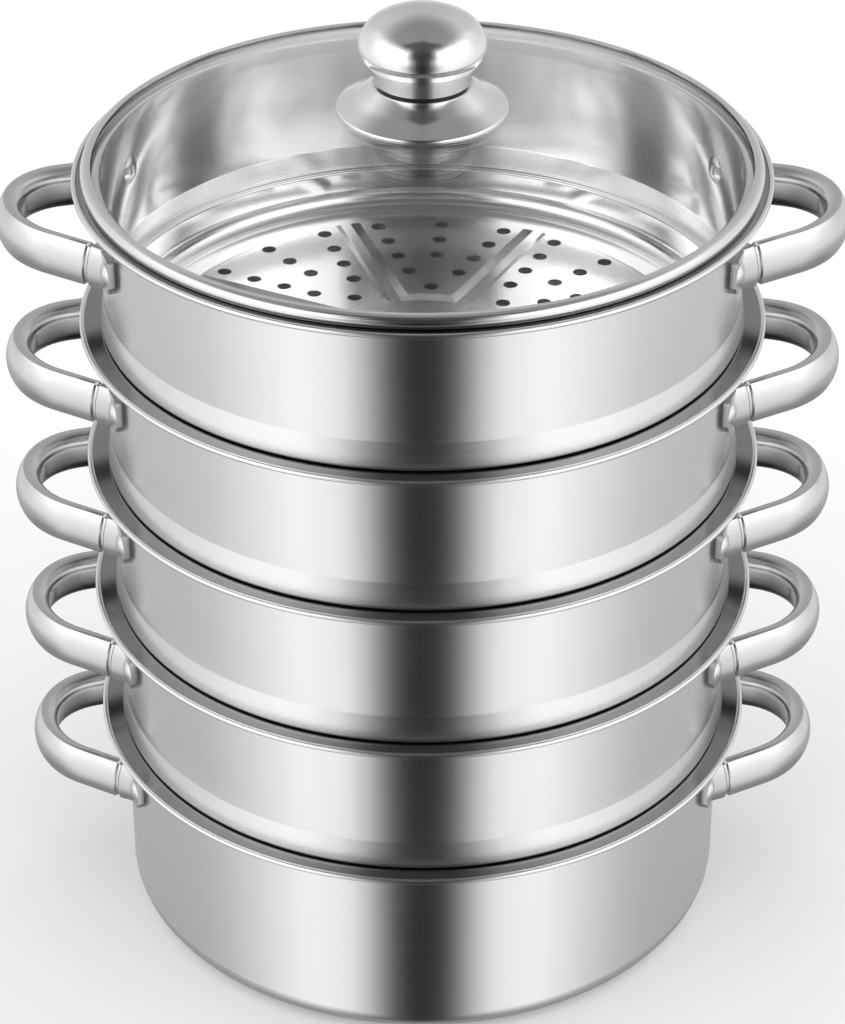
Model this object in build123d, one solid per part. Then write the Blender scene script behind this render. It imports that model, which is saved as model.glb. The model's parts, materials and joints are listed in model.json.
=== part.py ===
from build123d import *
from math import asin, atan2, cos, degrees, pi, radians, sin, sqrt
import os

# Steamer pot: a stock pot, four stacked steaming tiers and a glass lid with a ball knob.
# Millimetres, +Z up, origin in the middle of the pot's underside.
# Every level that ends in _seat is the top face of a vessel's rim, where the next one stands.

# Vessels, shared by the pot and the tiers
vessel_bore_radius = 140.0
sheet = 0.8
pot_height = 97.0
tier_pitch = 68.2
tier_count = 4
rim_reach = 10.75
rim_bead_radius = 1.25
rim_bead_drop = 0.25
rim_bend_radius = 0.4
pot_corner_radius = 12.0

# Lower end of a tier, which stands on the rim below and hangs a neck into it
band_flare = 1.9
band_height = 13.0
band_top_radius = 2.0
band_foot_radius = 1.0
neck_depth = 18.4
neck_clearance = 0.7
neck_corner_radius = 9.0
neck_corner_flat = 0.6

# Perforated floor: raised sectors round a hub, each with its own holes
sector_count = 8
sector_turn = 40.3
sector_valley_half_width = 5.9
sector_slope_width = 3.5
sector_margin = 9.7
sector_rise = 1.8
steam_hole_radius = 3.3
middle_row_count = 3
side_row_count = 4
side_row_angle = 22.6
hub_hole_ring = 21.0
hub_hole_count = 6
hub_hole_turn = 109.7

# Places in a raised sector, as shares of its outer radius
sector_inner_share = 0.352
apex_hole_share = 0.412
middle_row_start_share = 0.685
middle_row_pitch_share = 0.134
side_row_start_share = 0.539
side_row_offset_share = 0.0996
side_row_pitch_share = 0.1352

# Loop handles: a hollow tube of D-shaped section, drawn along the crease at its top
handle_drop = 25.9
handle_height = 19.2
handle_bulge = 3.0
handle_depth = 8.0
handle_inner_round = 6.2
handle_wall = 0.9
handle_bow_radius = 36.6
handle_bow_standoff = 6.1
handle_bow_half_angle = 66.0
handle_leg_length = 20.0
handle_rise_angle = 5.0
handle_end_chamfer = 0.6

# Handle feet: a pad on the wall, a neck into the tube's end, and a rivet beside it
foot_gap = 0.05
foot_thickness = 3.0
foot_height = 17.5
foot_width = 21.0
foot_offset_angle = 1.84
foot_corner_radius = 4.0
foot_groove_width = 1.4
foot_groove_inset = 0.9
foot_neck_reach = 16.0
foot_neck_share = 0.9
foot_spigot_length = 8.0
foot_spigot_clearance = 0.15
rivet_offset_angle = 2.4
rivet_shank_radius = 2.5
rivet_clearance = 0.1
rivet_head_radius = 6.3
rivet_head_height = 2.2
rivet_tail_radius = 5.0
rivet_tail_height = 1.8

# Lid: tempered glass dome held in a rolled steel band with a centring lip
glass_rise = 25.46
glass_thickness = 3.5
glass_edge_round = 1.2
glass_edge_clearance = 1.2
glass_seat_gap = 0.22
glass_cover_gap = 0.43
glass_hole_clearance = 1.0
lid_band_sheet = 0.5
lid_band_clearance = 1.6
lid_band_round_share = 0.47
lid_band_cover = 4.6
lid_lip_clearance = 0.8
lid_lip_depth = 6.0
lid_lip_bend = 0.5

# Knob, stacked from the skirt's foot on the glass up to the cap's top
skirt_sheet = 1.0
skirt_radius = 37.2
skirt_height = 10.6
skirt_edge_height = 1.6
skirt_edge_round = 1.3
skirt_top_radius = 21.6
skirt_top_round = 1.8
skirt_sag = 0.8
skirt_sag_round = 24.0
skirt_glass_gap = 0.2
spacer_radius = 18.9
spacer_height = 1.4
knob_sheet = 1.2
knob_cup_round = 0.9
knob_collar_height = 6.9
knob_crease_radius = 21.9
knob_crease_step = 0.7
knob_cup_height = 7.5
knob_cup_bulge = 1.2
knob_seam_gap = 0.3
knob_seam_inset = 0.6
knob_seam_rise = 0.3
knob_radius = 27.55
knob_dome_rise = 17.7
knob_side_share = 0.79
nut_radius = 5.5
nut_height = 14.0
nut_thread_gap = 0.05
screw_radius = 2.5
screw_clearance = 0.2
screw_head_radius = 4.8
screw_head_height = 2.8
screw_slot_width = 1.2
screw_slot_depth = 1.1
screw_end_clearance = 1.5
washer_radius = 8.5
washer_thickness = 1.0
gasket_radius = 10.0
gasket_thickness = 1.5
gasket_glass_gap = 0.1

# Length that a cutting tool runs past what it cuts
cut_overrun = 5.0

wall_radius = vessel_bore_radius + sheet
bead_ring_radius = vessel_bore_radius + rim_reach
rim_start_radius = wall_radius + sheet
base_radius = wall_radius - pot_corner_radius - sheet
neck_radius = vessel_bore_radius - neck_clearance
floor_radius = neck_radius - neck_corner_radius - neck_corner_flat
sector_outer_radius = floor_radius - sector_margin - sector_slope_width
sector_inner_radius = sector_outer_radius * sector_inner_share
handle_bow_centre = wall_radius + handle_bow_standoff
foot_face_radius = wall_radius + foot_gap + foot_thickness
lid_seat = pot_height + tier_pitch * tier_count
lid_band_radius = bead_ring_radius - rim_bead_radius - lid_band_clearance
glass_edge_radius = lid_band_radius - lid_band_sheet - glass_edge_clearance
glass_dome_radius = (glass_edge_radius**2 + glass_rise**2) / (2 * glass_rise)
glass_under_drop = glass_dome_radius - sqrt((glass_dome_radius - glass_thickness)**2 - glass_edge_radius**2)
glass_apex = lid_band_sheet + glass_seat_gap + glass_under_drop

# Levels of the knob above the rim that the lid lies on
skirt_top_level = glass_apex + skirt_height
knob_cup_level = skirt_top_level + spacer_height
knob_crease_level = knob_cup_level + knob_collar_height
knob_seam_level = knob_crease_level + knob_cup_height + knob_seam_gap
knob_widest_level = knob_seam_level + knob_seam_rise


def full_turn(face):
    """Turn a face drawn as (radius, height) into a ring about the part's axis."""
    return revolve(Plane.XZ * face, axis=Axis.Z)


def offset_corner(before, corner, after, thickness):
    """Move a corner to the right-hand side of the path and say which way the path turns there."""
    first = (corner - before).normalized()
    second = (after - corner).normalized()
    first_side = Vector(first.Y, -first.X)
    second_side = Vector(second.Y, -second.X)
    shift = (first_side + second_side) * (thickness / (1 + first_side.dot(second_side)))
    left_turn = first.X * second.Y - first.Y * second.X > 0
    return corner + shift, left_turn


def sheet_section(points, radii, thickness):
    """Outline of bent sheet: a skin through the points, and its back on the right-hand side."""
    skin_points = [Vector(*point) for point in points]
    start_way = (skin_points[1] - skin_points[0]).normalized()
    end_way = (skin_points[-1] - skin_points[-2]).normalized()
    back_points = [skin_points[0] + Vector(start_way.Y, -start_way.X) * thickness]
    back_radii = []
    for index, radius in enumerate(radii):
        corner, left_turn = offset_corner(*skin_points[index:index + 3], thickness)
        back_points.append(corner)
        back_radii.append(radius + thickness if left_turn else radius - thickness)
    back_points.append(skin_points[-1] + Vector(end_way.Y, -end_way.X) * thickness)
    skin = FilletPolyline(*skin_points, radius=radii)
    back = FilletPolyline(*back_points, radius=back_radii)
    ends = [Line(skin_points[0], back_points[0]), Line(skin_points[-1], back_points[-1])]
    return make_face(skin.edges() + back.edges() + ends)


def ring(outer, inner, bottom, top):
    """Plain round piece with a round hole."""
    height = top - bottom
    tube = Cylinder(outer, height) - Cylinder(inner, height + 2 * cut_overrun)
    return Pos(0, 0, (bottom + top) / 2) * tube


def make_rim(seat):
    """Flat flange outside a vessel's wall, with its rolled bead."""
    middle = (bead_ring_radius, seat - rim_bead_drop)
    low_end = degrees(-pi + asin((sheet - rim_bead_drop) / rim_bead_radius))
    high_end = degrees(pi - asin(rim_bead_drop / rim_bead_radius))
    bead = CenterArc(middle, rim_bead_radius, low_end, high_end - low_end)
    flange = Polyline(bead @ 1, (rim_start_radius, seat), (rim_start_radius, seat - sheet), bead @ 0)
    return full_turn(make_face([bead, flange]))


def at_wall(angle, level):
    """A place on the axis at a level, with local X pointing outwards at an angle."""
    return Pos(0, 0, level) * Rot(0, 0, angle)


def handle_leg_end():
    """Where the crease line's leg ends, and the way that it points, for the leg at positive Y."""
    turn = radians(handle_bow_half_angle)
    way = Vector(-sin(turn), cos(turn))
    bow_end = Vector(handle_bow_centre + handle_bow_radius * cos(turn), handle_bow_radius * sin(turn))
    return bow_end + way * handle_leg_length, way


def foot_turn():
    """Angle of a foot's middle round the vessel, just past the handle's leg."""
    end = handle_leg_end()[0]
    return degrees(atan2(end.Y, end.X)) + foot_offset_angle


def rivet_turns():
    """Angles of the two rivets of a handle round the vessel."""
    turn = foot_turn() + rivet_offset_angle
    return [-turn, turn]


def rivet_drills(seat):
    """Cutters for the rivet holes of both handles, through the wall and the feet."""
    length = 2 * cut_overrun + sheet + foot_thickness
    drill = Rot(0, 90, 0) * Cylinder(rivet_shank_radius + rivet_clearance, length)
    turns = [side + turn for side in (0, 180) for turn in rivet_turns()]
    return [at_wall(turn, seat - handle_drop) * Pos(wall_radius, 0, 0) * drill for turn in turns]


def make_pot_wall():
    """Wall of the pot with its bottom corner, from the rim to the flat base."""
    seat = pot_height
    points = [(rim_start_radius, seat - sheet), (wall_radius, seat - sheet), (wall_radius, 0),
              (base_radius, 0)]
    return full_turn(sheet_section(points, [rim_bend_radius, pot_corner_radius], sheet)) - rivet_drills(seat)


def sector_face(inner, outer, valley_half_width, level):
    """Flat sector between two radii, symmetric about local X, with straight valleys beside it."""
    spreads = [pi / sector_count - asin(valley_half_width / radius) for radius in (inner, outer)]
    corners = [(radius * cos(turn), radius * sin(turn)) for radius, turn in
               ((inner, -spreads[0]), (outer, -spreads[1]), (outer, spreads[1]), (inner, spreads[0]))]
    edges = [Line(corners[0], corners[1]), ThreePointArc(corners[1], (outer, 0), corners[2]),
             Line(corners[2], corners[3]), ThreePointArc(corners[3], (inner, 0), corners[0])]
    return Pos(0, 0, level) * make_face(edges)


def raised_sector(level):
    """Bevelled block that stands on a level, as high as the floor's raised sectors."""
    slope = sector_slope_width
    foot = sector_face(sector_inner_radius - slope, sector_outer_radius + slope,
                       sector_valley_half_width - slope, level)
    top = sector_face(sector_inner_radius, sector_outer_radius, sector_valley_half_width, level + sector_rise)
    return loft([foot, top], ruled=True)


def steam_hole_spots():
    """Hole centres of one sector, along and across its middle line."""
    spots = [(apex_hole_share, 0)]
    spots += [(middle_row_start_share + step * middle_row_pitch_share, 0) for step in range(middle_row_count)]
    along = side_row_pitch_share * cos(radians(side_row_angle))
    across = side_row_pitch_share * sin(radians(side_row_angle))
    for side in (-1, 1):
        spots += [(side_row_start_share + step * along, side * (side_row_offset_share + step * across))
                  for step in range(side_row_count)]
    return [(sector_outer_radius * spot_along, sector_outer_radius * spot_across)
            for spot_along, spot_across in spots]


def make_floor():
    """Perforated floor of a tier that stands on a rim at level 0."""
    level = sheet - neck_depth
    turns = [Rot(0, 0, sector_turn + index * 360 / sector_count) for index in range(sector_count)]
    raised = [turn * raised_sector(level) for turn in turns]
    hollows = [turn * raised_sector(level - sheet) for turn in turns]
    drill = Pos(0, 0, level) * Cylinder(steam_hole_radius, 2 * cut_overrun)
    drills = [turn * Pos(*spot) * drill for turn in turns for spot in steam_hole_spots()]
    for index in range(hub_hole_count):
        drills.append(Rot(0, 0, hub_hole_turn + index * 360 / hub_hole_count) * Pos(hub_hole_ring, 0, 0) * drill)
    plate = Pos(0, 0, level - sheet / 2) * Cylinder(floor_radius, sheet)
    return ((plate + raised) - hollows) - drills


def make_tier_wall():
    """Wall, band and neck of a tier that stands on a rim at level 0."""
    seat = tier_pitch
    points = [(rim_start_radius, seat - sheet), (wall_radius, seat - sheet), (wall_radius, band_height),
              (wall_radius + band_flare, 0), (neck_radius, 0), (neck_radius, -neck_depth),
              (floor_radius, -neck_depth)]
    radii = [rim_bend_radius, band_top_radius, band_foot_radius, rim_bend_radius, neck_corner_radius]
    return full_turn(sheet_section(points, radii, sheet)) - rivet_drills(seat)


def handle_section(inset):
    """D-shaped section about the crease line, local X pointing away from the vessel."""
    half = handle_height / 2
    outer = ThreePointArc((0, -half), (handle_bulge, 0), (0, half))
    inner = FilletPolyline((0, half), (-handle_depth, half), (-handle_depth, -half), (0, -half),
                           radius=handle_inner_round)
    face = make_face(outer.edges() + inner.edges())
    return offset(face, amount=-inset) if inset else face


def end_section(section, past_end):
    """A section set square to the leg at positive Y, some way past its end towards the wall."""
    end, way = handle_leg_end()
    plane = Plane(origin=end + way * past_end, x_dir=(way.Y, -way.X), z_dir=way)
    return plane * section


def tilted(shape, seat):
    """Raise a handle's outer end about the wall by its rise angle, and set it below a rim."""
    level = seat - handle_drop
    return Pos(wall_radius, 0, level) * Rot(0, -handle_rise_angle, 0) * Pos(-wall_radius, 0, 0) * shape


def both_ends(shape):
    return [shape, mirror(shape, about=Plane.XZ)]


def handle_run(inset, past_end):
    """Solid run of the tube's section round a whole handle, to some way past the tube's ends."""
    section = handle_section(inset)
    way = handle_leg_end()[1]
    leg = extrude(end_section(section, past_end), amount=handle_leg_length + past_end, dir=-way)
    bow_axis = Axis((handle_bow_centre, 0, 0), (0, 0, 1))
    bow_start = end_section(section, -handle_leg_length)
    bow = revolve(bow_start, axis=bow_axis, revolution_arc=-2 * handle_bow_half_angle)
    return bow + both_ends(leg)


def make_handle_tube(seat):
    chamfer = handle_end_chamfer
    tip = loft([end_section(handle_section(0), -chamfer), end_section(handle_section(chamfer), 0)], ruled=True)
    return tilted(handle_run(0, -chamfer) + both_ends(tip) - handle_run(handle_wall, 0), seat)


def make_handle_feet(seat):
    """A pad on the wall with a neck that plugs into the tube, at each end of a handle."""
    way = handle_leg_end()[1]
    neck_end = scale(handle_section(0), by=foot_neck_share)
    neck_start = foot_groove_width + handle_end_chamfer
    neck = loft([end_section(handle_section(0), neck_start), end_section(neck_end, foot_neck_reach)],
                ruled=True)
    neck += loft([end_section(handle_section(handle_end_chamfer), foot_groove_width),
                  end_section(handle_section(0), neck_start)], ruled=True)
    groove = extrude(end_section(handle_section(foot_groove_inset), 0), amount=2 * foot_groove_width, dir=way)
    spigot_section = handle_section(handle_wall + foot_spigot_clearance)
    spigot = extrude(end_section(spigot_section, 0), amount=foot_spigot_length, dir=-way)
    outline = Plane.YZ * RectangleRounded(foot_width, foot_height, foot_corner_radius)
    pad = at_wall(foot_turn(), seat - handle_drop) * extrude(outline, amount=2 * wall_radius)
    pad = pad & Pos(0, 0, seat) * Cylinder(foot_face_radius, 2 * tier_pitch)
    foot = tilted(neck + groove + spigot, seat) + pad
    foot -= Pos(0, 0, seat) * Cylinder(wall_radius + foot_gap, 2 * tier_pitch)
    tails = [at_wall(turn, seat - handle_drop) * rivet_tail(rivet_clearance) for turn in rivet_turns()]
    return [foot_end - rivet_drills(seat) - tails for foot_end in both_ends(foot)]


def dome_ball(base_radius, height):
    """Radius of the ball whose cap of a height has a base of a radius."""
    return (base_radius**2 + height**2) / (2 * height)


def rivet_tail(room):
    """Domed tail on a foot's face, along local X, with some room all round."""
    ball = dome_ball(rivet_tail_radius, rivet_tail_height)
    tail = Pos(foot_face_radius + rivet_tail_height - ball, 0, 0) * Sphere(ball + room)
    return tail - Cylinder(foot_face_radius + foot_gap, 2 * tier_pitch)


def make_rivets(seat):
    """Two rivets with a domed head inside the wall and a domed tail on the foot."""
    ball = dome_ball(rivet_head_radius, rivet_head_height)
    head = Pos(vessel_bore_radius - rivet_head_height + ball, 0, 0) * Sphere(ball)
    head = head & Cylinder(vessel_bore_radius - foot_gap, 2 * tier_pitch)
    shank_start = vessel_bore_radius - rivet_head_height / 2
    shank_end = foot_face_radius + rivet_tail_height / 2
    shank = Rot(0, 90, 0) * Cylinder(rivet_shank_radius, shank_end - shank_start)
    rivet = head + rivet_tail(0) + Pos((shank_start + shank_end) / 2, 0, 0) * shank
    return [at_wall(turn, seat - handle_drop) * rivet for turn in rivet_turns()]


def make_handles(prefix, seat):
    """The two handles of a vessel with their feet and rivets, by node name."""
    pieces = {"handle": [make_handle_tube(seat)], "handle_feet": make_handle_feet(seat),
              "handle_rivets": make_rivets(seat)}
    nodes = {}
    for side, turn in (("right", 0), ("left", 180)):
        for name, solids in pieces.items():
            nodes[f"{prefix}_{side}_{name}"] = [Rot(0, 0, turn) * solid for solid in solids]
    return nodes


def glass_top(radius):
    """Height of the dome's upper face above the rim, at a radius."""
    return glass_apex - glass_dome_radius + sqrt(glass_dome_radius**2 - radius**2)


def glass_underside(radius):
    return glass_apex - glass_dome_radius + sqrt((glass_dome_radius - glass_thickness)**2 - radius**2)


def make_lid_glass():
    hole = screw_radius + glass_hole_clearance
    edge = glass_edge_radius
    middle = edge / 2
    outline = [ThreePointArc((hole, glass_top(hole)), (middle, glass_top(middle)), (edge, glass_top(edge))),
               Line((edge, glass_top(edge)), (edge, glass_underside(edge))),
               ThreePointArc((edge, glass_underside(edge)), (middle, glass_underside(middle)),
                             (hole, glass_underside(hole))),
               Line((hole, glass_underside(hole)), (hole, glass_top(hole)))]
    face = make_face(outline)
    return full_turn(fillet(face.vertices().sort_by(Axis.X)[-2:], radius=glass_edge_round))


def make_lid_band():
    """Rolled band round the glass, with a lip that hangs inside the vessel's wall."""
    lip_radius = vessel_bore_radius - lid_lip_clearance
    cover_radius = lid_band_radius - lid_band_cover
    height = glass_top(cover_radius) + glass_cover_gap + lid_band_sheet
    points = [(cover_radius, height), (lid_band_radius, height), (lid_band_radius, 0), (lip_radius, 0),
              (lip_radius, -lid_lip_depth)]
    bend = height * lid_band_round_share
    return full_turn(sheet_section(points, [bend, bend, lid_lip_bend], lid_band_sheet))


def knob_dome(inset):
    """Two tangent arcs of the flattened dome, from its widest level up to its top."""
    radius = knob_radius - inset
    side = knob_dome_rise * knob_side_share - inset
    rise = knob_dome_rise - inset
    crown = ((radius - side)**2 + rise**2 - side**2) / (2 * (rise - side))
    side_centre = Vector(radius - side, knob_widest_level)
    crown_centre = Vector(0, knob_widest_level + rise - crown)
    meeting = side_centre + (side_centre - crown_centre).normalized() * side
    flank = TangentArc((radius, knob_widest_level), meeting, tangent=(0, 1))
    return [flank, TangentArc(meeting, (0, knob_widest_level + rise), tangent=flank % 1)]


def make_knob_cap():
    """Shell of bent sheet, turned in a little at the seam with the cup."""
    outer = knob_dome(0)
    inner = knob_dome(knob_sheet)
    corners = [inner[0] @ 0, (knob_radius - knob_sheet - knob_seam_gap, knob_seam_level),
               (knob_radius - knob_seam_gap, knob_seam_level), outer[0] @ 0]
    outline = outer + inner + [Line(outer[1] @ 1, inner[1] @ 1)]
    outline += [Line(start, end) for start, end in zip(corners, corners[1:])]
    return full_turn(make_face(outline))


def knob_cup_block(inset):
    top = knob_seam_level - knob_seam_gap
    top_radius = knob_radius - knob_seam_inset - inset
    crease = knob_crease_radius - inset
    collar = crease - knob_crease_step
    step_level = knob_crease_level - knob_crease_step
    bottom = knob_cup_level + inset
    bow_middle = ((top_radius + crease) / 2 + knob_cup_bulge, (top + knob_crease_level) / 2)
    corners = [(crease, knob_crease_level), (collar, step_level), (collar, bottom), (0, bottom), (0, top),
               (top_radius, top)]
    outline = [ThreePointArc((top_radius, top), bow_middle, (crease, knob_crease_level))]
    outline += [Line(start, end) for start, end in zip(corners, corners[1:])]
    return full_turn(make_face(outline))


def make_knob_cup():
    outside = knob_cup_block(0)
    bottom_edge = outside.faces().sort_by(Axis.Z)[0].edges()
    hole = Pos(0, 0, knob_cup_level) * Cylinder(screw_radius + screw_clearance, 2 * cut_overrun)
    return fillet(bottom_edge, radius=knob_cup_round) - knob_cup_block(knob_sheet) - hole


def make_knob_skirt():
    edge_level = glass_top(skirt_radius) + skirt_glass_gap
    edge_top = edge_level + skirt_edge_height
    middle = ((skirt_top_radius + skirt_radius) / 2, (skirt_top_level + edge_top) / 2 - skirt_sag)
    points = [(screw_radius + screw_clearance, skirt_top_level), (skirt_top_radius, skirt_top_level),
              middle, (skirt_radius, edge_top), (skirt_radius, edge_level)]
    return full_turn(sheet_section(points, [skirt_top_round, skirt_sag_round, skirt_edge_round], skirt_sheet))


def make_knob_screw(head_top, end):
    head = Pos(0, 0, head_top - screw_head_height / 2) * Cylinder(screw_head_radius, screw_head_height)
    shank = Pos(0, 0, (head_top + end) / 2) * Cylinder(screw_radius, end - head_top)
    slot = Box(2 * screw_head_radius + cut_overrun, screw_slot_width, 2 * screw_slot_depth)
    return head + shank - Pos(0, 0, head_top - screw_head_height) * slot


def make_lid():
    """Lid pieces by node name, with the rim below them at level 0."""
    loose = screw_radius + screw_clearance
    gasket_top = glass_underside(gasket_radius) - gasket_glass_gap
    washer_top = gasket_top - gasket_thickness
    head_top = washer_top - washer_thickness
    nut_bottom = knob_cup_level + knob_sheet
    nut_top = nut_bottom + nut_height
    return {"lid_glass": make_lid_glass(),
            "lid_band": make_lid_band(),
            "knob_cap": make_knob_cap(),
            "knob_cup": make_knob_cup(),
            "knob_nut": ring(nut_radius, screw_radius + nut_thread_gap, nut_bottom, nut_top),
            "knob_spacer": ring(spacer_radius, loose, skirt_top_level, knob_cup_level),
            "knob_skirt": make_knob_skirt(),
            "knob_gasket": ring(gasket_radius, loose, washer_top, gasket_top),
            "knob_washer": ring(washer_radius, loose, head_top, washer_top),
            "knob_screw": make_knob_screw(head_top, nut_top - screw_end_clearance)}


def build_nodes():
    nodes = {"pot_wall": [make_pot_wall()], "pot_rim": [make_rim(pot_height)],
             "pot_base": [Pos(0, 0, sheet / 2) * Cylinder(base_radius, sheet)]}
    nodes.update(make_handles("pot", pot_height))
    tier = {"wall": make_tier_wall(), "rim": make_rim(tier_pitch), "floor": make_floor()}
    tier_handles = make_handles("tier", tier_pitch)
    for number in range(1, tier_count + 1):
        lift = Pos(0, 0, pot_height + tier_pitch * (number - 1))
        nodes.update({f"tier_{number}_{name}": [lift * solid] for name, solid in tier.items()})
        for name, solids in tier_handles.items():
            nodes[name.replace("tier", f"tier_{number}")] = [lift * solid for solid in solids]
    for name, solid in make_lid().items():
        nodes[name] = [Pos(0, 0, lid_seat) * solid]
    return nodes


os.makedirs("parts", exist_ok=True)
for node, solids in build_nodes().items():
    export_step(Compound(children=solids), f"parts/{node}.step")
    print(node, len(solids))
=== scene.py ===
import json
import math

import bmesh
import bpy
from mathutils import Matrix, Vector

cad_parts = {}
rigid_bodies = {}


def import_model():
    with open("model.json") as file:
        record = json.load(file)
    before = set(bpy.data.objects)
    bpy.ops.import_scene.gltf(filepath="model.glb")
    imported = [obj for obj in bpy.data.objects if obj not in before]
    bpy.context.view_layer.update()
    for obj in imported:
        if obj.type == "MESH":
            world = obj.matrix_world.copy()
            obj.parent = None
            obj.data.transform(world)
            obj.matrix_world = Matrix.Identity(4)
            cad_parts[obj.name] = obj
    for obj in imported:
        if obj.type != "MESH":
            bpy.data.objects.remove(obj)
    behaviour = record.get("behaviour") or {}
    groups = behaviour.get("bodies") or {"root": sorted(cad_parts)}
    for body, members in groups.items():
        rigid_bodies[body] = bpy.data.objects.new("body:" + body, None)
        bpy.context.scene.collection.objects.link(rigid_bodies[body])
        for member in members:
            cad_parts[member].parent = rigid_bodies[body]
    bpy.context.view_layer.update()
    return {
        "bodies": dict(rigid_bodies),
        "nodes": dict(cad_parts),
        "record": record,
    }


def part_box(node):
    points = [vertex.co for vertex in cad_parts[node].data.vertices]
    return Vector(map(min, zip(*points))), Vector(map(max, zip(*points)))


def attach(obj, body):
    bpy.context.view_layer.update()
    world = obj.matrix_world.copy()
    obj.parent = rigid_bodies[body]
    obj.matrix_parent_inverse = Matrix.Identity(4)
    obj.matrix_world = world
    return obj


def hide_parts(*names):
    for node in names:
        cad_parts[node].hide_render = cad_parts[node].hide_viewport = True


# Looks of the steamer pot: brushed and polished stainless steel, a tempered-glass lid and a dark knob spacer,
# in a soft studio whose dark front gap gives the walls their dark middle band. Metres, +Z up.

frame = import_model()
scene = bpy.context.scene
slot_of_node = {part["node"]: part["material_slot"] for part in frame["record"]["subparts"]}

# Camera, in the photograph's frame of 845 by 1024 pixels
camera_distance = 1.286
camera_height = 0.9966
camera_pitch_down = math.radians(31.97)
focal_pixels = 3282.6
photo_height_pixels = 1024
sensor_height_mm = 36.0
camera_reach = 20

# Drawn vessels: a bent sheet with a rolled bead, turned round the Z axis
sheet = 0.0008
wall_radius = 0.1408
bead_drop = 0.00025
rim_bend = 0.0004
pot_corner = 0.012
band_flare = 0.0019
band_height = 0.013
band_top_bend = 0.002
band_foot_bend = 0.0018
neck_clearance = 0.0007
neck_corner = 0.009

# Slopes that tell apart the zones of a shell: the share of a face's normal along an axis
flat_slope = 0.9
inside_slope = 0.3
contact_shadow_slope = 0.45

# Rolled band of the lid
lid_band_sheet = 0.0005
lid_band_cover = 0.0046
lid_band_bend = 0.003
lid_lip_clearance = 0.0008
lid_lip_bend = 0.0005

# Loop handles: the middle of their bow, out from the Z axis, and where painted shade darkens the side that
# faces into the loop, by the share of its normal that points outwards and by its height over the tube's middle
handle_bow_centre = 0.1469
loop_facing = (0.1, -0.7)
loop_height = (0.008, -0.008)

# Fineness of the turned meshes
turned_sides = 288
bend_step = math.radians(12)
least_bend_steps = 3
bend_support = 0.0002
weld_distance = 0.000001
sharp_angle = math.radians(50)

# Noises of the surfaces: the middle stretch of their values that is used, their grain for each metre, and how
# far they change the roughness
noise_low = 0.3
noise_high = 0.7
lines_along_per_metre = 5
lines_across_per_metre = 2600
line_fineness = 0.65
line_depth = 0.00001
line_change = 0.08
smudges_per_metre = 14
smudge_change = 0.01
brushing_turn = 0.25
satin_grain_per_metre = 600
satin_grain_shade = 0.03
refractive_index = 1.5
glass_films_per_metre = 9
glass_film_roughness = 0.012
glass_colours = ((0.975, 0.985, 0.98), (0.99, 0.995, 0.992))
moulded_grain_shade = 0.15
moulded_grain_change = 0.1
moulded_grain_strength = 0.3
moulded_grain_depth = 0.00004

# Ground under the pot
floor_size = 12
floor_mottles_per_metre = 3
floor_colours = ((0.93, 0.93, 0.93), (0.95, 0.95, 0.95))

# Studio light in rows from nadir to zenith: the sine of each row's elevation, and its brightness by compass
# direction, in degrees away from the camera's side
half_turn = 180
light_rows = [
    (-0.97, [(0, 0.03), (30, 0.08), (60, 0.3), (180, 0.3)]),
    (-0.7, [(0, 0.02), (6, 0.03), (11, 0.1), (16, 0.32), (22, 0.68), (29, 0.98), (46, 1.02), (58, 0.82),
            (70, 0.6), (85, 0.42), (98, 0.34), (125, 0.32), (180, 0.3)]),
    (-0.54, [(0, 0.02), (6, 0.03), (11, 0.1), (16, 0.32), (22, 0.68), (29, 0.98), (46, 1.04), (58, 0.9),
             (70, 0.74), (85, 0.58), (98, 0.52), (125, 0.5), (180, 0.45)]),
    (-0.2, [(0, 0.02), (8, 0.04), (15, 0.14), (22, 0.38), (30, 0.78), (42, 1.1), (60, 1.1), (85, 1.0),
            (110, 0.9), (180, 0.7)]),
    (0.2, [(0, 0.04), (10, 0.07), (18, 0.4), (28, 1.2), (60, 1.4), (90, 1.1), (120, 0.8), (180, 0.5)]),
    (0.55, [(0, 0.04), (16, 0.06), (24, 0.4), (34, 1.5), (60, 2.1), (90, 1.4), (120, 0.9), (150, 0.6),
            (180, 0.5)]),
    (0.9, [(0, 0.08), (50, 0.1), (75, 0.28), (100, 0.3), (180, 0.26)]),
]
backdrop_brightness = 0.97
floor_fill = 1.08


def new_tree(owner):
    """Empty node tree of a material or world, and a function that adds a node with its settings."""
    owner.use_nodes = True
    tree = owner.node_tree
    tree.nodes.clear()

    def add(kind, **settings):
        node = tree.nodes.new(kind)
        for name, value in settings.items():
            setattr(node, name, value)
        return node

    return tree, add


def math_node(tree, add, operation, *inputs):
    """Sum, product or other operation on sockets and plain numbers."""
    node = add("ShaderNodeMath", operation=operation)
    for index, value in enumerate(inputs):
        if isinstance(value, (int, float)):
            node.inputs[index].default_value = value
        else:
            tree.links.new(value, node.inputs[index])
    return node.outputs[0]


def separated(tree, add, vector):
    """X, Y and Z of a vector."""
    node = add("ShaderNodeSeparateXYZ")
    tree.links.new(vector, node.inputs[0])
    return node.outputs


def combined(tree, add, **values):
    """Vector of the values given by axis."""
    node = add("ShaderNodeCombineXYZ")
    for axis, value in values.items():
        tree.links.new(value, node.inputs[axis])
    return node.outputs[0]


def length(tree, add, vector):
    node = add("ShaderNodeVectorMath", operation="LENGTH")
    tree.links.new(vector, node.inputs[0])
    return node.outputs["Value"]


def noise(tree, add, vector, per_metre, detail, fineness=0.5):
    """Noise over a vector, with its finer octaves."""
    node = add("ShaderNodeTexNoise")
    node.inputs["Scale"].default_value = per_metre
    node.inputs["Detail"].default_value = detail
    node.inputs["Roughness"].default_value = fineness
    tree.links.new(vector, node.inputs["Vector"])
    return node.outputs["Fac"]


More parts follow.
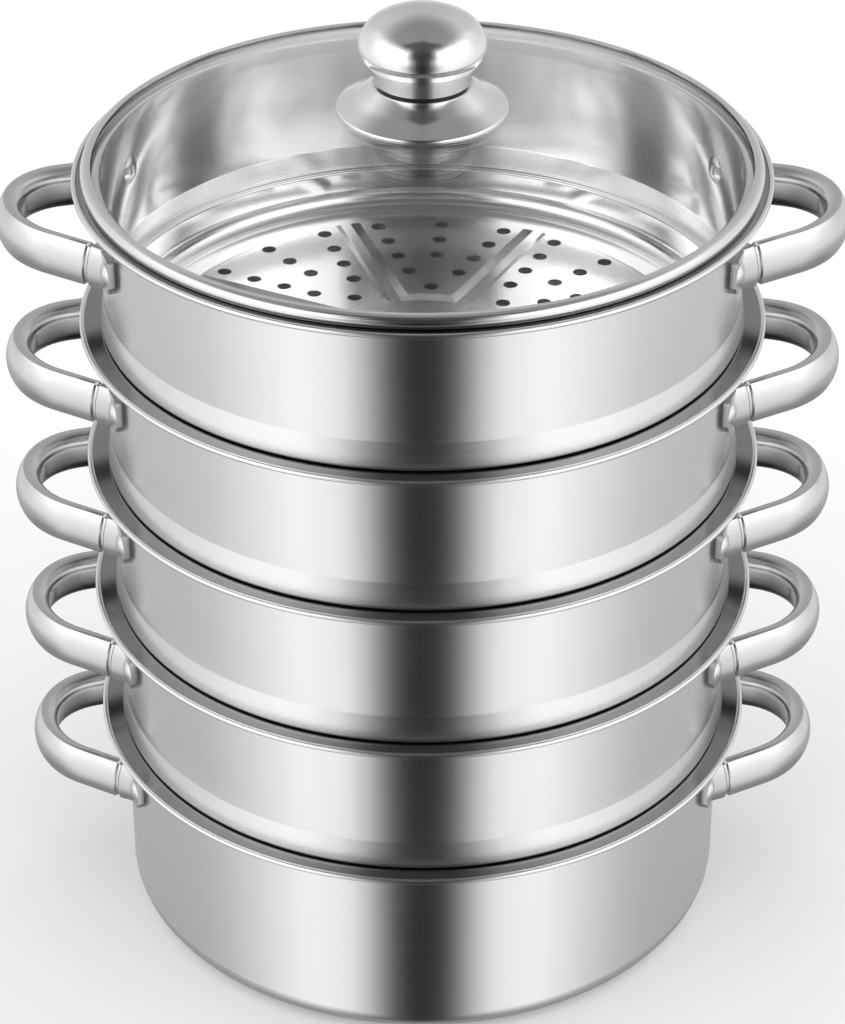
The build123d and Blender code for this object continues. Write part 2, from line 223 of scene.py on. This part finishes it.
def raise_bumps(tree, add, shader, height, strength, distance):
    bump = add("ShaderNodeBump")
    bump.inputs["Strength"].default_value = strength
    bump.inputs["Distance"].default_value = distance
    tree.links.new(height, bump.inputs["Height"])
    tree.links.new(bump.outputs[0], shader.inputs["Normal"])


def grey_ramp(tree, add, factor, stops):
    """Ramp of greys over a factor, from stops of place and brightness, both from 0 upwards."""
    ramp = add("ShaderNodeValToRGB")
    ramp.color_ramp.interpolation = "EASE"
    elements = ramp.color_ramp.elements
    while len(elements) < len(stops):
        elements.new(0.5)
    for element, (place, brightness) in zip(elements, stops):
        element.position = place
        element.color = (brightness, brightness, brightness, 1)
    tree.links.new(factor, ramp.inputs["Fac"])
    return ramp.outputs["Color"]


def make_world():
    """Studio light as the steel and glass see it, with plainer light on the floor and behind the pot."""
    world = bpy.data.worlds.new("studio")
    scene.world = world
    tree, add = new_tree(world)
    direction = separated(tree, add, add("ShaderNodeTexCoord").outputs["Generated"])
    across = math_node(tree, add, "ABSOLUTE", direction["X"])
    towards = math_node(tree, add, "MULTIPLY", direction["Y"], -1)
    turn = math_node(tree, add, "ARCTAN2", across, towards)
    share = math_node(tree, add, "DIVIDE", turn, math.pi)
    light = None
    for index, (height, stops) in enumerate(light_rows):
        row = grey_ramp(tree, add, share, [(degrees / half_turn, brightness) for degrees, brightness in stops])
        if index == 0:
            light = row
            continue
        rise = add("ShaderNodeMapRange", interpolation_type="SMOOTHSTEP")
        rise.inputs["From Min"].default_value = light_rows[index - 1][0]
        rise.inputs["From Max"].default_value = height
        tree.links.new(direction["Z"], rise.inputs["Value"])
        blend = add("ShaderNodeMix", data_type="RGBA")
        tree.links.new(rise.outputs["Result"], blend.inputs["Factor"])
        tree.links.new(light, blend.inputs["A"])
        tree.links.new(row, blend.inputs["B"])
        light = blend.outputs["Result"]
    surface = add("ShaderNodeBackground")
    tree.links.new(light, surface.inputs["Color"])
    surface = surface.outputs[0]
    rays = add("ShaderNodeLightPath")
    for kind, brightness in (("Is Diffuse Ray", floor_fill), ("Is Camera Ray", backdrop_brightness)):
        plain = add("ShaderNodeBackground")
        plain.inputs["Color"].default_value = (brightness, brightness, brightness, 1)
        chosen = add("ShaderNodeMixShader")
        tree.links.new(rays.outputs[kind], chosen.inputs[0])
        tree.links.new(surface, chosen.inputs[1])
        tree.links.new(plain.outputs[0], chosen.inputs[2])
        surface = chosen.outputs[0]
    tree.links.new(surface, add("ShaderNodeOutputWorld").inputs["Surface"])


def make_camera():
    data = bpy.data.cameras.new("camera")
    data.sensor_fit = "VERTICAL"
    data.sensor_height = sensor_height_mm
    data.lens = focal_pixels / photo_height_pixels * sensor_height_mm
    data.clip_end = camera_reach
    camera = bpy.data.objects.new("camera", data)
    camera.location = (0, -camera_distance, camera_height)
    camera.rotation_euler = (math.pi / 2 - camera_pitch_down, 0, 0)
    scene.collection.objects.link(camera)
    scene.camera = camera


def principled(tree, add, settings):
    """Surface shader with its constants."""
    shader = add("ShaderNodeBsdfPrincipled")
    for name, value in settings.items():
        shader.inputs[name].default_value = value
    tree.links.new(shader.outputs[0], add("ShaderNodeOutputMaterial").inputs["Surface"])
    return shader


def spread(tree, add, factor, low, high):
    """Map a noise's values onto a range."""
    node = add("ShaderNodeMapRange")
    node.inputs["From Min"].default_value = noise_low
    node.inputs["From Max"].default_value = noise_high
    node.inputs["To Min"].default_value = low
    node.inputs["To Max"].default_value = high
    tree.links.new(factor, node.inputs["Value"])
    return node.outputs["Result"]


def spread_share(tree, add, factor, value, change):
    """Value that a noise changes by a share of it, up and down."""
    return spread(tree, add, factor, value * (1 - change), value * (1 + change))


def tint(tree, add, factor, low, high):
    """Mix two colours by a noise."""
    node = add("ShaderNodeMix", data_type="RGBA")
    node.inputs["A"].default_value = (*low, 1)
    node.inputs["B"].default_value = (*high, 1)
    tree.links.new(spread(tree, add, factor, 0, 1), node.inputs["Factor"])
    return node.outputs["Result"]


def make_steel(name, grey, roughness, anisotropy, line_strength, lines_per_metre=lines_across_per_metre):
    """Stainless steel brushed or spun round the Z axis: fine lines run round walls and round flats alike."""
    material = bpy.data.materials.new(name)
    tree, add = new_tree(material)
    shader = principled(tree, add, {"Metallic": 1.0, "Anisotropic": anisotropy,
                                    "Anisotropic Rotation": brushing_turn})
    place = add("ShaderNodeTexCoord").outputs["Object"]
    parts = separated(tree, add, place)
    radius = length(tree, add, combined(tree, add, X=parts["X"], Y=parts["Y"]))
    profile = math_node(tree, add, "ADD", radius, parts["Z"])
    stretched = combined(tree, add, X=math_node(tree, add, "MULTIPLY", parts["X"], lines_along_per_metre),
                         Y=math_node(tree, add, "MULTIPLY", parts["Y"], lines_along_per_metre),
                         Z=math_node(tree, add, "MULTIPLY", profile, lines_per_metre))
    lines = noise(tree, add, stretched, 1, 3, line_fineness)
    smudges = noise(tree, add, place, smudges_per_metre, 2)
    colours = tint(tree, add, lines, [grey * (1 - line_strength)] * 3, [grey] * 3)
    tree.links.new(colours, shader.inputs["Base Color"])
    line_roughness = spread_share(tree, add, lines, roughness, line_change)
    smudge_roughness = spread(tree, add, smudges, -smudge_change, smudge_change)
    tree.links.new(math_node(tree, add, "ADD", line_roughness, smudge_roughness), shader.inputs["Roughness"])
    raise_bumps(tree, add, shader, lines, line_strength, line_depth)
    if anisotropy:
        tangent = add("ShaderNodeTangent", direction_type="RADIAL", axis="Z")
        tree.links.new(tangent.outputs[0], shader.inputs["Tangent"])
    return material


def painted_shade_mask(tree, add, place, facing):
    """Mask of the handles' painted shade: how far a point of any vessel's handle lies low on the side that
    faces into the loop, from 0 to 1.
    """
    side = math_node(tree, add, "SIGN", place["X"])
    bow_centre = math_node(tree, add, "MULTIPLY", side, handle_bow_centre)
    outwards = math_node(tree, add, "SUBTRACT", place["X"], bow_centre)
    along = math_node(tree, add, "MULTIPLY", outwards, facing["X"])
    across = math_node(tree, add, "MULTIPLY", place["Y"], facing["Y"])
    reach = length(tree, add, combined(tree, add, X=outwards, Y=place["Y"]))
    outward_share = math_node(tree, add, "DIVIDE", math_node(tree, add, "ADD", along, across), reach)
    low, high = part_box("pot_left_handle")
    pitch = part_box("tier_1_left_handle")[0].z - low.z
    middle = (low.z + high.z) / 2
    wrapped = math_node(tree, add, "WRAP", place["Z"], middle + pitch / 2, middle - pitch / 2)
    height = math_node(tree, add, "SUBTRACT", wrapped, middle)
    shares = []
    for value, (start, end) in ((outward_share, loop_facing), (height, loop_height)):
        share = add("ShaderNodeMapRange", interpolation_type="SMOOTHSTEP")
        share.inputs["From Min"].default_value = start
        share.inputs["From Max"].default_value = end
        tree.links.new(value, share.inputs["Value"])
        shares.append(share.outputs["Result"])
    return math_node(tree, add, "MULTIPLY", *shares)


def make_satin(name, grey, painted_shade_grey, roughness):
    """Satin steel of the handles, with painted shade low on the side that faces into the loop, where its
    colour turns near-black.
    """
    material = bpy.data.materials.new(name)
    tree, add = new_tree(material)
    shader = principled(tree, add, {"Metallic": 1.0})
    coordinates = add("ShaderNodeTexCoord").outputs
    grain = noise(tree, add, coordinates["Object"], satin_grain_per_metre, 3)
    clean = tint(tree, add, grain, [grey * (1 - satin_grain_shade)] * 3, [grey] * 3)
    place = separated(tree, add, coordinates["Object"])
    facing = separated(tree, add, coordinates["Normal"])
    # Painted shade: the colour turns near-black low on the side that faces into the loop
    blend = add("ShaderNodeMix", data_type="RGBA")
    tree.links.new(painted_shade_mask(tree, add, place, facing), blend.inputs["Factor"])
    tree.links.new(clean, blend.inputs["A"])
    blend.inputs["B"].default_value = (painted_shade_grey, painted_shade_grey, painted_shade_grey, 1)
    tree.links.new(blend.outputs["Result"], shader.inputs["Base Color"])
    tree.links.new(spread_share(tree, add, grain, roughness, line_change), shader.inputs["Roughness"])
    return material


def make_glass():
    """Clear tempered glass with a faint film."""
    material = bpy.data.materials.new("tempered_glass")
    tree, add = new_tree(material)
    shader = principled(tree, add, {"Transmission Weight": 1.0, "IOR": refractive_index})
    film = noise(tree, add, add("ShaderNodeTexCoord").outputs["Object"], glass_films_per_metre, 3)
    tree.links.new(tint(tree, add, film, *glass_colours), shader.inputs["Base Color"])
    tree.links.new(spread(tree, add, film, 0.0, glass_film_roughness), shader.inputs["Roughness"])
    return material


def make_moulded(name, grey, roughness, grain_per_metre):
    """Moulded plastic or silicone with a fine matt grain."""
    material = bpy.data.materials.new(name)
    tree, add = new_tree(material)
    shader = principled(tree, add, {"IOR": refractive_index})
    grain = noise(tree, add, add("ShaderNodeTexCoord").outputs["Object"], grain_per_metre, 4)
    colours = tint(tree, add, grain, [grey * (1 - moulded_grain_shade)] * 3, [grey] * 3)
    tree.links.new(colours, shader.inputs["Base Color"])
    tree.links.new(spread_share(tree, add, grain, roughness, moulded_grain_change), shader.inputs["Roughness"])
    raise_bumps(tree, add, shader, grain, moulded_grain_strength, moulded_grain_depth)
    return material


def make_floor():
    """Pale ground, which the steel doesn't mirror."""
    material = bpy.data.materials.new("pale_floor")
    tree, add = new_tree(material)
    shader = principled(tree, add, {"Roughness": 0.9, "Specular IOR Level": 0.1})
    mottle = noise(tree, add, add("ShaderNodeTexCoord").outputs["Object"], floor_mottles_per_metre, 2)
    tree.links.new(tint(tree, add, mottle, *floor_colours), shader.inputs["Base Color"])
    bpy.ops.mesh.primitive_plane_add(size=floor_size)
    floor = bpy.context.object
    floor.name = "floor"
    floor.data.materials.append(material)
    floor.visible_glossy = False


def make_materials():
    """One material for each slot of the record."""
    return {
        "vessel_steel": make_steel("brushed_vessel_steel", grey=0.92, roughness=0.23, anisotropy=0.75,
                                   line_strength=0.025),
        # The handles' and feet's satin steel turns near-black low on the side that faces into the loop:
        # painted shade
        "handle_steel": make_satin("satin_handle_steel", grey=0.72, painted_shade_grey=0.03, roughness=0.2),
        "foot_steel": make_satin("satin_foot_steel", grey=0.64, painted_shade_grey=0.03, roughness=0.22),
        "rivet_steel": make_steel("polished_rivet_steel", grey=0.9, roughness=0.16, anisotropy=0.0,
                                  line_strength=0.02),
        "band_steel": make_steel("polished_band_steel", grey=0.86, roughness=0.1, anisotropy=0.4,
                                 line_strength=0.02),
        "knob_steel": make_steel("satin_knob_steel", grey=0.9, roughness=0.13, anisotropy=0.3,
                                 line_strength=0.015, lines_per_metre=4000),
        "fastener_steel": make_steel("plain_fastener_steel", grey=0.7, roughness=0.3, anisotropy=0.0,
                                     line_strength=0.05),
        "lid_glass": make_glass(),
        "spacer_black": make_moulded("black_phenolic", grey=0.012, roughness=0.45, grain_per_metre=2500),
        "gasket_silicone": make_moulded("grey_silicone", grey=0.5, roughness=0.6, grain_per_metre=1800),
    }


def rounded(points, rounds):
    """Path through points with its inner corners rounded, and a support point on each side of a bend."""
    path = [points[0]]
    for before, corner, after, radius in zip(points, points[1:], points[2:], rounds):
        back = (before - corner).normalized()
        ahead = (after - corner).normalized()
        turn = math.pi - back.angle(ahead)
        way = math.copysign(1, back.y * ahead.x - back.x * ahead.y)
        start = corner + back * radius * math.tan(turn / 2)
        centre = corner + (back + ahead).normalized() * radius / math.cos(turn / 2)
        steps = max(least_bend_steps, round(turn / bend_step))
        arc = [centre + Matrix.Rotation(way * turn * step / steps, 2) @ (start - centre)
               for step in range(steps + 1)]
        path += [start + back * bend_support] + arc + [arc[-1] + ahead * bend_support]
    return path + [points[-1]]


def bent_sheet(corners, rounds, thickness):
    """Two paths along bent sheet: its skin through the corners, and its back on the right-hand side."""
    skin = [Vector(corner) for corner in corners]
    ways = [(after - before).normalized() for before, after in zip(skin, skin[1:])]
    sides = [Vector((way.y, -way.x)) for way in ways]
    back = [skin[0] + sides[0] * thickness]
    back_rounds = []
    for index, radius in enumerate(rounds):
        first, second = sides[index], sides[index + 1]
        back.append(skin[index + 1] + (first + second) * thickness / (1 + first.dot(second)))
        left_turn = ways[index].x * ways[index + 1].y > ways[index].y * ways[index + 1].x
        back_rounds.append(radius + thickness if left_turn else radius - thickness)
    back.append(skin[-1] + sides[-1] * thickness)
    return rounded(skin, rounds), rounded(back, back_rounds)


def turned(name, outline):
    """Closed outline of (radius, height) points turned round the Z axis."""
    mesh = bpy.data.meshes.new(name)
    count = len(outline)
    turns = [2 * math.pi * side / turned_sides for side in range(turned_sides)]
    points = [(place.x * math.cos(turn), place.x * math.sin(turn), place.y)
              for turn in turns for place in outline]
    faces = []
    for side in range(turned_sides):
        here = side * count
        there = (side + 1) % turned_sides * count
        faces += [(here + index, here + (index + 1) % count, there + (index + 1) % count, there + index)
                  for index in range(count)]
    mesh.from_pydata(points, [], faces)
    work = bmesh.new()
    work.from_mesh(mesh)
    bmesh.ops.remove_doubles(work, verts=work.verts, dist=weld_distance)
    bmesh.ops.recalc_face_normals(work, faces=work.faces)
    work.to_mesh(mesh)
    work.free()
    mesh.shade_smooth()
    mesh.set_sharp_from_angle(angle=sharp_angle)
    piece = bpy.data.objects.new(name, mesh)
    scene.collection.objects.link(piece)
    return piece


def dress_shell(shell, bead_start, band_foot, steels):
    """Steels of a shell: its skin; the flat top of its rim in a darker copy, painted shade; its inside in a
    lighter copy, painted light; and near-black steel on the bend at its band's foot, a painted contact shadow.
    """
    for steel in steels:
        shell.data.materials.append(steel)
    for face in shell.data.polygons:
        middle, normal = face.center, face.normal
        radius = math.hypot(middle.x, middle.y)
        outwards = (middle.x * normal.x + middle.y * normal.y) / max(radius, sheet)
        # Flat top of the rim: a darker copy of the vessel steel, painted shade
        if wall_radius < radius < bead_start and normal.z > flat_slope:
            face.material_index = 1
        # Inside: a lighter copy of the vessel steel, painted light
        elif radius < wall_radius and (outwards < -inside_slope or normal.z > inside_slope):
            face.material_index = 2
        # Downward bend at the band's foot: near-black steel, a painted contact shadow
        elif (0 < middle.z - band_foot < band_foot_bend
              and outwards > inside_slope and normal.z < -contact_shadow_slope):
            face.material_index = 3


def rim_start(name):
    """Seat level of a vessel's rim, where its flange runs into the bead, and the bead's points."""
    low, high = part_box(name + "_rim")
    bead = (high.z - low.z) / 2
    centre = Vector((high.x - bead, high.z - bead))
    seat = centre.y + bead_drop
    first = math.pi - math.asin(bead_drop / bead)
    last = math.asin((sheet - bead_drop) / bead) - math.pi
    steps = round((first - last) / bend_step)
    turns = [first + (last - first) * step / steps for step in range(steps + 1)]
    return seat, [centre + bead * Vector((math.cos(turn), math.sin(turn))) for turn in turns]


def make_vessel(name, lower_corners, lower_rounds):
    """Vessel from its rim down, with the rest of its skin's corners given."""
    seat, bead = rim_start(name)
    corners = [(bead[-1].x, seat - sheet), (wall_radius, seat - sheet)] + lower_corners
    skin, back = bent_sheet(corners, [rim_bend] + lower_rounds, sheet)
    return turned(name + "_shell", skin[1:] + back[:0:-1] + bead)


def make_vessels(steels):
    """Finely turned shells in place of the drawn nodes of the pot and the tiers."""
    pot = make_vessel("pot", [(wall_radius, 0), (0, 0)], [pot_corner])
    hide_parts("pot_wall", "pot_rim", "pot_base")
    shells = {"pot": pot}
    band_feet = {"pot": -math.inf}
    below = "pot"
    for name in frame["bodies"]:
        if not name.startswith("tier"):
            continue
        base = rim_start(below)[0]
        floor_low, floor_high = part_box(name + "_floor")
        neck = wall_radius - sheet - neck_clearance
        corners = [(wall_radius, base + band_height), (wall_radius + band_flare, base), (neck, base),
                   (neck, floor_low.z), (floor_high.x, floor_low.z)]
        shells[name] = make_vessel(name, corners, [band_top_bend, band_foot_bend, rim_bend, neck_corner])
        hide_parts(name + "_wall", name + "_rim")
        band_feet[name] = base
        below = name
    for name, shell in shells.items():
        dress_shell(shell, rim_start(name)[1][0].x, band_feet[name], steels)
        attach(shell, name)


def make_lid_band(material):
    """Finely turned band in place of the drawn node, rolled round the edge of the glass."""
    low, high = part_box("lid_band")
    seat = rim_start("tier_4")[0]
    lip = wall_radius - sheet - lid_lip_clearance
    corners = [(high.x - lid_band_cover, high.z), (high.x, high.z), (high.x, seat), (lip, seat),
               (lip, low.z)]
    skin, back = bent_sheet(corners, [lid_band_bend, lid_band_bend, lid_lip_bend], lid_band_sheet)
    band = turned("lid_band_ring", skin + back[::-1])
    band.data.materials.append(material)
    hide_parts("lid_band")
    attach(band, "lid")


def dress_nodes(materials, floor_material):
    """Materials of the drawn nodes, with the tiers' floors in the steel of the insides, a lighter copy whose
    extra brightness is painted light.
    """
    for name, node in frame["nodes"].items():
        material = floor_material if name.endswith("_floor") else materials[slot_of_node[name]]
        node.data.materials.clear()
        node.data.materials.append(material)


scene.view_settings.view_transform = "Standard"
make_world()
make_camera()
make_floor()
materials = make_materials()
# Lighter copy of the vessel steel for the insides and the tiers' floors: painted light, with a lower roughness
painted_light_inside_steel = make_steel("inside_steel_painted_light", grey=0.97, roughness=0.13, anisotropy=0.75,
                          line_strength=0.03)
# Darker copy of the vessel steel for the rim's flat top: painted shade
painted_shade_rim_steel = make_steel("rim_steel_painted_shade", grey=0.34, roughness=0.18, anisotropy=0.75, line_strength=0.04)
# Near-black steel on the bend at the band's foot: a painted contact shadow between band and flange
contact_shadow_steel = make_steel("shaded_seam_steel", grey=0.04, roughness=0.5, anisotropy=0.0, line_strength=0.03)
dress_nodes(materials, painted_light_inside_steel)
make_vessels([materials["vessel_steel"], painted_shade_rim_steel, painted_light_inside_steel, contact_shadow_steel])
make_lid_band(materials["band_steel"])
